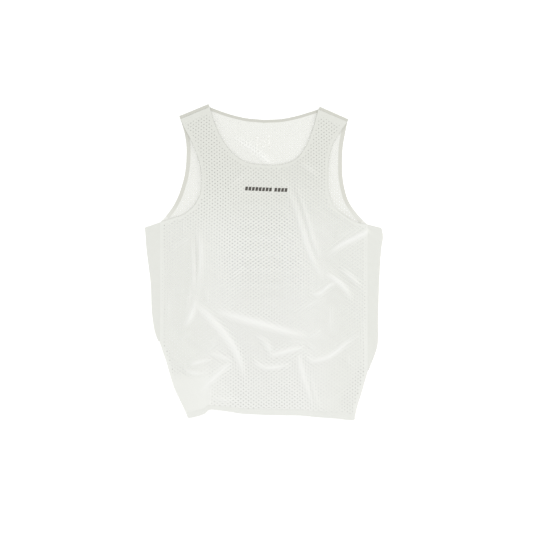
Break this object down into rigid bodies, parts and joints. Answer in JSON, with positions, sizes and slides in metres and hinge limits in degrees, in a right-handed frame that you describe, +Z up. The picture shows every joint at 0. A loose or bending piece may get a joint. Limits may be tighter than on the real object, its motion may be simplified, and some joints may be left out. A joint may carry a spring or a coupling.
{
  "type": "running singlet laid flat",
  "caption": "Sleeveless running singlet in off-white perforated mesh, laid flat front up, with a scoop neck, cut-away armholes, side strips, a hem band and lower corners tucked under.",
  "frame": {"origin": "on the surface the singlet lies on, under the middle of its outline", "axes": "+Z up out of its front, +Y towards the neck, +X to the right of the picture, the wearer's left side"},
  "size_m": [0.5026, 0.6664, 0.0089],
  "materials": {
    "perforated_mesh": "off-white polyester mesh with small round holes and a soft sheen",
    "plain_knit": "off-white plain polyester knit with a soft sheen",
    "bonded_tape": "matt grey-white bonded seam tape"
  },
  "bodies": {
    "root": {"front_panel": "perforated_mesh", "back_panel": "perforated_mesh", "hem_band": "plain_knit", "side_strip_left": "plain_knit", "side_strip_right": "plain_knit", "shoulder_tape_left": "bonded_tape", "shoulder_tape_right": "bonded_tape", "neck_tape": "bonded_tape", "armhole_tape_left": "bonded_tape", "armhole_tape_right": "bonded_tape", "tucked_corner_left": "perforated_mesh", "tucked_corner_right": "perforated_mesh"}
  },
  "joints": []
}
